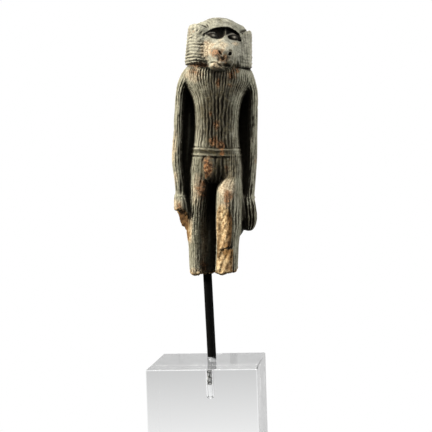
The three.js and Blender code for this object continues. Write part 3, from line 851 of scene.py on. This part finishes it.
def wear_masks(points, normals):
    """What the material needs to know at each vertex, each mask from 0 to 1."""
    x, y, z = points.T
    plain = figure(x, y, z, 0)
    near = figure(*(points + 0.7 * normals).T, 0) / 0.7
    far = figure(*(points + 2.5 * normals).T, 0) / 2.5
    open_sky = figure(*(points + 6 * normals).T, 0) / 6
    front = ease(0.1, -0.25, normals[:, 1])
    rough = fractal(points, 2.4, 5)
    fine = fractal(points, 0.9, 9, 2)
    hx, hy, hz = on_head(x, y, z)
    on_face = ease(-1.5, -3.0, hy) * (z > 70)

    # The groove mask darkens the grooves of the fur: painted shade, with some grime
    masks = {"groove": np.clip(-plain / 0.3, 0, 1)}
    closed = np.clip(1 - near, 0, 1) * 0.5 + np.clip(1 - far, 0, 1) * 0.6
    closed = closed + ease(0.25, 0.8, 1 - open_sky) * 0.8
    masks["shade"] = np.clip(closed, 0, 1) * (1 - spots(points, OPEN_PLACES))
    # The edge mask lightens the ridges: worn glaze, partly a painted highlight
    around = sum(figure(*(points + step).T) for step in np.vstack([np.eye(3), -np.eye(3)]) * 0.25)
    masks["edge"] = np.clip((around - 6 * figure(x, y, z)) / 0.12, 0, 1) * (1 - masks["groove"])
    bridge = bump(hx, 0.75, 0.45) * ease(6.5, 4.5, hz)
    # Painted highlights along the rims of the lids, and a painted glint on each eyeball
    lid_highlights = np.zeros(len(points))
    for place, height in EYES:
        along = hx - place
        lid_highlight_line = bump(hz - height - 1.45 + 0.15 * along ** 2, 0, 0.25)
        lid_highlights += 0.7 * lid_highlight_line * ease(-3.0, -2.6, along) * ease(1.0, 0.3, along)
        lid_highlights += 0.12 * bump(along, 0.3, 1.4) * bump(hz, height, 0.6)
        lid_highlights += bump(along, 0, 0.42) * bump(hz, height, 0.38)
    paint = ease(-0.15, 0.25, arch_depth(hx, hz)) * on_face
    masks["paint"] = np.clip(paint * (1 - 0.3 * bridge), 0, 1)
    masks["eye_highlight"] = np.clip(paint * lid_highlights, 0, 1)

    raw = np.zeros(len(points))
    for step in SHIN_BREAKS:
        ahead = shin_break(x, y, z, step)
        within = ease(step["low"] - 0.5, step["low"] + 0.2, z)
        within = within * ease(step["high"] + 0.5, step["high"] - 0.2, z)
        within = within * ease(28, 24, z + 2 * rough)
        raw = np.maximum(raw, within * ease(-0.75, -0.35, ahead) * (x > -0.5) * (normals[:, 1] < 0.3))
    sloping = ease(-0.7, -0.3, hand_break(x, y, z)) * ease(-8.2, -9.4, x + rough) * (z > 12)
    bottom = ease(0.9, 0.3, z - break_height(x, y))
    masks["raw"] = np.clip(np.maximum(np.maximum(raw, sloping), bottom), 0, 1)

    stain = spots(points, STAINS) * front
    masks["stain"] = ease(0.35, 0.75, stain + 0.5 * rough + 0.2 * fine)
    # Pale crust, and painted light where the lamps leave the figure too dark
    pale_and_lit = spots(points, PALE_AND_LIT) * ease(0.5, -0.1, normals[:, 1])
    masks["pale_and_lit"] = ease(0.35, 0.75, pale_and_lit + 0.45 * rough + 0.2 * fine)
    # Soil and painted shade on the front
    dirt_and_shade = spots(points, DIRT_AND_SHADE) * front
    masks["dirt_and_shade"] = ease(0.1, 0.7, dirt_and_shade + 0.35 * rough + 0.15 * fine)
    masks["head"] = ease(-8.8, -7.8, hz) * ease(70.5, 71.5, z)
    return masks


def mesh_piece(name, points, faces, matrix):
    mesh = bpy.data.meshes.new(name)
    placed = np.asarray(points) @ np.array(matrix.to_3x3()).T + np.array(matrix.translation)
    mesh.from_pydata((placed * MM).tolist(), [], [list(map(int, face)) for face in faces])
    mesh.update()
    mesh.shade_smooth()
    piece = bpy.data.objects.new(name, mesh)
    bpy.context.collection.objects.link(piece)
    return piece


def carve_amulet():
    axes, values = carve_grid()
    points, quads = surface_net(axes, values)
    points = settle(points)
    normals = gradient(points)
    normals /= np.linalg.norm(normals, axis=1)[:, None] + 1e-9
    masks = wear_masks(points, normals)

    worn = WEAR["broad"] * fractal(points, 5.0, 21)
    worn = worn + WEAR["fine"] * fractal(points * (1, 1, 0.4), 0.9, 31, 2)
    pits = ease(0.28, 0.6, fractal(points * (1, 1, 0.6), 1.3, 41, 2)) * WEAR["pits"]
    crust = np.maximum(1.1 * masks["stain"], 0.6 * masks["pale_and_lit"]) * (1 - 0.6 * masks["head"])
    crust = np.maximum(masks["raw"], crust)
    crumbs = WEAR["crumbs"] * fractal(points, 1.8, 51) + WEAR["fine_crumbs"] * fractal(points, 0.75, 61, 2)
    grit = WEAR["grit"] * fractal(points, 1.1, 81, 2) * masks["head"] * (1 - masks["paint"])
    shift = (worn - pits) * (1 - 0.6 * masks["head"]) + crumbs * crust + grit
    points = points + shift[:, None] * normals
    piece = mesh_piece("faience_figure", points, quads, amulet_place)
    for name, mask in masks.items():
        layer = piece.data.attributes.new(name, "FLOAT", "POINT")
        layer.data.foreach_set("value", mask.astype(np.float32))
    return piece


def add_node(tree, kind, settings=(), **sockets):
    """A node with some settings and its inputs by name, each a value or another node's output."""
    made = tree.nodes.new("ShaderNode" + kind)
    for name, value in dict(settings).items():
        setattr(made, name, value)
    for name, value in sockets.items():
        key = int(name[1:]) if name[0] == "i" and name[1:].isdigit() else name.replace("_", " ")
        if isinstance(value, bpy.types.NodeSocket):
            tree.links.new(value, made.inputs[key])
        else:
            made.inputs[key].default_value = value
    return made


def new_material(name):
    material = bpy.data.materials.new(name)
    material.use_nodes = True
    tree = material.node_tree
    return material, tree, tree.nodes["Principled BSDF"]


def colour(red, green, blue):
    return (red, green, blue, 1)


def mixed_colour(tree, factor, first, second):
    return add_node(tree, "Mix", {"data_type": "RGBA"}, i0=factor, i6=first, i7=second).outputs[2]


def noise_node(tree, vector, size, detail, rough):
    """Noise with features of a size in millimetres."""
    made = add_node(tree, "TexNoise", Vector=vector, Scale=1 / (size * MM), Detail=detail, Roughness=rough)
    return made.outputs["Fac"]


def math_node(tree, operation, first, second):
    return add_node(tree, "Math", {"operation": operation}, i0=first, i1=second).outputs[0]


def tint(name):
    return colour(*PALETTE[name])


def pair(name):
    return [colour(*each) for each in PALETTE[name]]


def faience():
    material, tree, shader = new_material("worn_faience")

    def mask(name):
        return add_node(tree, "Attribute", {"attribute_name": name}).outputs["Fac"]

    def mix(factor, first, second):
        return mixed_colour(tree, factor, first, second)

    def ramp(value, low, high, start=0.0, end=1.0):
        settings = {"interpolation_type": "SMOOTHSTEP"}
        return add_node(tree, "MapRange", settings, i0=value, i1=low, i2=high, i3=start, i4=end).outputs[0]

    def scaled(value, factor):
        return math_node(tree, "MULTIPLY", value, factor)

    place = add_node(tree, "TexCoord").outputs["Object"]

    def noise(size, detail=4.0, rough=0.6, stretch=None):
        vector = place
        if stretch:
            vector = add_node(tree, "Mapping", Vector=place, Scale=stretch).outputs[0]
        return noise_node(tree, vector, size, detail, rough)

    broad, medium, fine = noise(9.0), noise(2.2, 5), noise(0.7, 3, 0.7)
    grains = noise(1.1, 2, 0.5)
    streaks = noise(1.1, 4, 0.65, (1, 1, 0.16))

    base = mix(ramp(broad, 0.38, 0.62), *pair("glaze"))
    base = mix(ramp(medium, 0.45, 0.68), base, tint("glaze_patch"))
    base = mix(scaled(ramp(streaks, 0.5, 0.68), 0.7), base, tint("glaze_streak"))
    stone = mix(ramp(medium, 0.35, 0.65), *pair("head"))
    base = mix(mask("head"), base, stone)
    # Ridges lighter: worn glaze and painted highlight
    base = mix(scaled(mask("edge"), 0.5), base, tint("worn_edge_and_highlight"))
    base = mix(scaled(ramp(fine, 0.53, 0.66), 0.6), base, tint("speck"))
    # Pale crust, and painted light
    cream_and_light = mix(ramp(fine, 0.42, 0.56), *pair("cream_and_light"))
    base = mix(scaled(mask("pale_and_lit"), 0.8), base, cream_and_light)
    # Soil, and painted shade and shadow
    soil_and_shade = mix(ramp(grains, 0.46, 0.56), *pair("soil_and_shade"))
    base = mix(scaled(mask("dirt_and_shade"), 0.9), base, soil_and_shade)
    # Ridges showing through the soil: worn glaze and painted highlight
    base = mix(scaled(mask("edge"), 0.22), base, tint("soiled_edge_and_highlight"))
    rust = mix(ramp(grains, 0.42, 0.58), *pair("rust"))
    rust = mix(ramp(fine, 0.55, 0.66), rust, tint("rust_speck"))
    base = mix(scaled(mask("stain"), 0.85), base, rust)
    bare = mix(ramp(medium, 0.38, 0.62), *pair("bare"))
    chalk = mix(ramp(grains, 0.4, 0.6), *pair("chalk"))
    bare = mix(mask("pale_and_lit"), bare, chalk)
    bare = mix(scaled(ramp(fine, 0.54, 0.66), 0.65), bare, tint("bare_speck"))
    # Soil and painted shade on the broken faces
    bare = mix(scaled(mask("dirt_and_shade"), 0.75), bare, tint("bare_dirt_and_shade"))
    base = mix(mask("raw"), base, bare)
    # Painted shade and grime in the grooves of the fur
    base = mix(scaled(mask("groove"), 0.95), base, tint("groove"))
    base = mix(scaled(ramp(mask("shade"), 0.18, 0.75), 0.93), base, tint("shade"))
    paint = mix(ramp(medium, 0.5, 0.7), *pair("paint"))
    base = mix(mask("paint"), base, paint)
    # Painted highlights on the lids and painted glints on the eyeballs
    base = mix(scaled(mask("eye_highlight"), 0.75), base, tint("eye_highlight"))
    tree.links.new(base, shader.inputs["Base Color"])

    dull = math_node(tree, "MAXIMUM", mask("raw"), mask("stain"))
    dark = math_node(tree, "MAXIMUM", mask("paint"), mask("shade"))
    gloss = add_node(tree, "MapRange", i0=dull, i3=0.5, i4=0.85).outputs[0]
    gloss = math_node(tree, "ADD", gloss, ramp(medium, 0.3, 0.7, -0.08, 0.08))
    gloss = math_node(tree, "MAXIMUM", gloss, dark)
    tree.links.new(gloss, shader.inputs["Roughness"])
    shader.inputs["Specular IOR Level"].default_value = GLAZE_SPECULAR

    relief = add_node(tree, "Math", {"operation": "MULTIPLY_ADD"}, i0=fine, i1=0.5, i2=medium).outputs[0]
    bumped = add_node(tree, "Bump", Height=relief, Distance=0.7 * MM, Strength=0.9)
    tree.links.new(bumped.outputs[0], shader.inputs["Normal"])
    return material


def lathe(profile, sides):
    """A closed solid of revolution about z through (radius, height) points, its ends on the axis."""
    points, faces = [(0, 0, profile[0][1])], []
    for radius, height in profile[1:-1]:
        for side in range(sides):
            turn = math.tau * side / sides
            points.append((radius * math.cos(turn), radius * math.sin(turn), height))
    points.append((0, 0, profile[-1][1]))
    rows = len(profile) - 2
    for side in range(sides):
        after = (side + 1) % sides
        faces.append((0, 1 + after, 1 + side))
        for row in range(rows - 1):
            here, above = 1 + row * sides, 1 + (row + 1) * sides
            faces.append((here + side, here + after, above + after, above + side))
        top = 1 + (rows - 1) * sides
        faces.append((top + side, top + after, len(points) - 1))
    return points, faces


def threaded_rod():
    sides = 48
    profile = [(0, -STUB_LENGTH), (STUB_RADIUS - STUB_TIP_CHAMFER, -STUB_LENGTH)]
    rows = int((STUB_LENGTH - 0.1) / THREAD_ROW)
    profile += [(STUB_RADIUS, -STUB_LENGTH + 0.1 + row * THREAD_ROW) for row in range(rows)]
    profile += [(STUB_RADIUS - 0.1, GAP), (ROD_RADIUS - ROD_ROUNDING, GAP)]
    for step in range(1, 4):
        turn = math.pi / 6 * step
        rim_radius = ROD_RADIUS - ROD_ROUNDING + ROD_ROUNDING * math.sin(turn)
        profile.append((rim_radius, GAP + ROD_ROUNDING - ROD_ROUNDING * math.cos(turn)))
    height = GAP + 1
    while height < rod_top - 1:
        profile.append((ROD_RADIUS, height))
        height += 1.5
    tip_radius = ROD_RADIUS - ROD_TIP_CHAMFER
    profile += [(ROD_RADIUS, rod_top - ROD_TIP_CHAMFER), (tip_radius, rod_top), (0, rod_top)]
    points, faces = lathe(profile, sides)
    points = np.array(points)
    x, y, z = points.T
    radius, turn = np.hypot(x, y), np.arctan2(y, x)
    phase = z / THREAD_PITCH - turn / math.tau
    ridge = np.abs(phase - np.floor(phase) - 0.5) * 2
    cut = THREAD_DEPTH * ridge * (z > -STUB_LENGTH + 0.05) * (z < -0.05) * (radius > STUB_RADIUS - 0.01)
    cut += 0.01 * lattice(points, 2.2, 71) * (radius > ROD_RADIUS - 0.01)
    scale = np.where(radius > 0, (radius - cut) / np.maximum(radius, 1e-6), 1)
    points[:, 0] *= scale
    points[:, 1] *= scale
    piece = mesh_piece("steel_rod", points, faces, rod_place)
    piece.data.set_sharp_from_angle(angle=math.radians(35))
    return piece


def black_paint():
    """Black paint on the rod, and bare steel on its stub below the top of the cube, with light patches
    there that are painted glints.
    """
    material, tree, shader = new_material("black_paint")
    place = add_node(tree, "TexCoord").outputs["Object"]
    grain = noise_node(tree, place, 0.5, 4.0, 0.6)
    paint = mixed_colour(tree, grain, *(colour(*each) for each in BLACK_PAINT))
    # Light patches on the stub: painted glints on the thread
    lumps = noise_node(tree, place, 1.3, 2.0, 0.5)
    glint_patch = add_node(tree, "MapRange", i0=lumps, i1=0.42, i2=0.6).outputs[0]
    steel = mixed_colour(tree, glint_patch, *(colour(*each) for each in STEEL_AND_GLINTS))
    height = add_node(tree, "SeparateXYZ", i0=place).outputs[2]
    sunk = math_node(tree, "LESS_THAN", height, BLOCK * MM)
    tree.links.new(mixed_colour(tree, sunk, paint, steel), shader.inputs["Base Color"])
    gloss = add_node(tree, "MapRange", i0=grain, i3=0.42, i4=0.62).outputs[0]
    tree.links.new(gloss, shader.inputs["Roughness"])
    shader.inputs["Specular IOR Level"].default_value = PAINT_SPECULAR
    bumped = add_node(tree, "Bump", Height=grain, Distance=0.03 * MM, Strength=0.5)
    tree.links.new(bumped.outputs[0], shader.inputs["Normal"])
    return material


def clear_block():
    half = BLOCK / 2
    grid = bpy.data.meshes.new("acrylic_cube")
    shape = bmesh.new()
    bmesh.ops.create_cube(shape, size=BLOCK * MM, matrix=Matrix.Translation((0, 0, half * MM)))
    middles = {edge: (edge.verts[0].co + edge.verts[1].co) / 2 for edge in shape.edges}
    upper = {edge: middle for edge, middle in middles.items() if middle.z > half * MM}
    seen = [edge for edge, middle in upper.items() if middle.z > BLOCK * 0.9 * MM or middle.y < 0]
    rear = [edge for edge in middles if edge not in seen]
    bmesh.ops.bevel(shape, geom=seen, offset=BLOCK_BEVEL * MM, segments=3, profile=0.6, affect="EDGES")
    rear = [edge for edge in rear if edge.is_valid]
    bmesh.ops.bevel(shape, geom=rear, offset=REAR_BEVEL * MM, segments=1, affect="EDGES")
    shape.to_mesh(grid)
    shape.free()
    piece = bpy.data.objects.new("acrylic_cube", grid)
    bpy.context.collection.objects.link(piece)

    radius = HOLE_RADIUS
    profile = [(radius * math.sin(a), radius * (1 - math.cos(a)) - HOLE_DEPTH)
               for a in (math.pi / 20 * i for i in range(11))]
    drill = mesh_piece("drill", *lathe(profile + [(radius, 2), (0, 2)], 64), rod_place)
    cut = piece.modifiers.new("hole", "BOOLEAN")
    cut.operation, cut.object, cut.solver = "DIFFERENCE", drill, "EXACT"
    graph = bpy.context.evaluated_depsgraph_get()
    drilled = bpy.data.meshes.new_from_object(piece.evaluated_get(graph))
    piece.modifiers.clear()
    piece.data = drilled
    drilled.name = "acrylic_cube"
    bpy.data.objects.remove(drill)
    drilled.shade_smooth()
    flat_edges = {key for face in drilled.polygons if face.area > (3 * MM) ** 2 for key in face.edge_keys}
    for edge in drilled.edges:
        edge.use_edge_sharp = edge.key in flat_edges
    return piece


def clear_acrylic():
    material, tree, shader = new_material("clear_acrylic")
    shader.inputs["Transmission Weight"].default_value = 1
    shader.inputs["IOR"].default_value = ACRYLIC_IOR
    shader.inputs["Base Color"].default_value = colour(*ACRYLIC_TINT)
    place = add_node(tree, "TexCoord").outputs["Object"]
    haze = noise_node(tree, place, 6, 5.0, 0.7)
    gloss = add_node(tree, "MapRange", i0=haze, i1=0.45, i2=0.75, i3=0.0, i4=0.05).outputs[0]
    tree.links.new(gloss, shader.inputs["Roughness"])
    return material


def studio():
    scene = bpy.context.scene
    scene.view_settings.view_transform = "Standard"
    world = bpy.data.worlds.new("studio")
    scene.world = world
    world.use_nodes = True
    tree = world.node_tree
    background = tree.nodes["Background"]
    path = add_node(tree, "LightPath").outputs
    height = add_node(tree, "SeparateXYZ", i0=add_node(tree, "TexCoord").outputs["Generated"]).outputs[2]
    (low, high), (dim, bright) = SKY_THROUGH["heights"], SKY_THROUGH["levels"]
    through = add_node(tree, "MapRange", i0=height, i1=low, i2=high, i3=dim, i4=bright).outputs[0]

    def choose(flag, other, value):
        return add_node(tree, "Mix", {"data_type": "FLOAT"}, i0=flag, i2=other, i3=value).outputs[0]

    level = choose(path["Is Glossy Ray"], SKY["diffuse"], SKY["glossy"])
    level = choose(path["Is Transmission Ray"], level, through)
    level = choose(path["Is Camera Ray"], level, SKY["camera"])
    tree.links.new(level, background.inputs["Strength"])
    background.inputs["Color"].default_value = colour(1, 1, 1)

    corners = [(FLOOR_HALF * x, FLOOR_HALF * y, 0) for x, y in ((-1, -1), (1, -1), (1, 1), (-1, 1))]
    sheet = bpy.data.meshes.new("floor")
    sheet.from_pydata(corners, [], [(0, 1, 2, 3)])
    floor = bpy.data.objects.new("floor", sheet)
    bpy.context.collection.objects.link(floor)
    paper, _, shader = new_material("white_paper")
    shader.inputs["Base Color"].default_value = colour(0, 0, 0)
    shader.inputs["Specular IOR Level"].default_value = 0
    shader.inputs["Roughness"].default_value = 0.9
    shader.inputs["Emission Color"].default_value = colour(1, 1, 1)
    shader.inputs["Emission Strength"].default_value = 1
    sheet.materials.append(paper)
    floor.visible_diffuse = False
    floor.visible_transmission = False
    floor.visible_glossy = False


def soft_light(name, azimuth, elevation, distance, size, power, tint):
    """A square lamp aimed at the figure. Azimuth is from the front, towards +x."""
    a, e = math.radians(azimuth), math.radians(elevation)
    away = Vector((math.sin(a) * math.cos(e), -math.cos(a) * math.cos(e), math.sin(e)))
    lamp = bpy.data.lights.new(name, "AREA")
    lamp.size, lamp.energy, lamp.color = size, power, tint
    holder = bpy.data.objects.new(name, lamp)
    holder.location = Vector(LAMP_TARGET) + away * distance
    holder.rotation_euler = away.to_track_quat("Z", "Y").to_euler()
    bpy.context.collection.objects.link(holder)


def photo_camera():
    lens = bpy.data.cameras.new("camera")
    lens.sensor_width = CAMERA_SENSOR
    lens.lens = CAMERA_LENS
    lens.clip_start = 0.01
    yaw, pitch, roll = (math.radians(angle) for angle in CAMERA_TURN)
    ahead = Vector((math.sin(yaw) * math.cos(pitch), math.cos(yaw) * math.cos(pitch), math.sin(pitch)))
    right = Vector((math.cos(yaw), -math.sin(yaw), 0))
    up = right.cross(ahead)
    across = math.cos(roll) * right + math.sin(roll) * up
    upright = math.cos(roll) * up - math.sin(roll) * right
    turned = Matrix((across, upright, -ahead)).transposed().to_4x4()
    camera = bpy.data.objects.new("camera", lens)
    camera.matrix_world = Matrix.Translation(Vector(CAMERA_PLACE) * MM) @ turned
    bpy.context.collection.objects.link(camera)
    bpy.context.scene.camera = camera


figure_piece = carve_amulet()
rod_piece = threaded_rod()
cube_piece = clear_block()
dressed = (
    (figure_piece, "amulet", "faience", faience()),
    (rod_piece, "mount_rod", "black_rod", black_paint()),
    (cube_piece, "acrylic_block", "clear_acrylic", clear_acrylic()),
)
for piece, node, slot, material in dressed:
    piece.data.materials.clear()
    piece.data.materials.append(material)
    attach(piece, "root")
    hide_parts(node)

studio()
for lamp in LAMPS:
    soft_light(*lamp)
photo_camera()
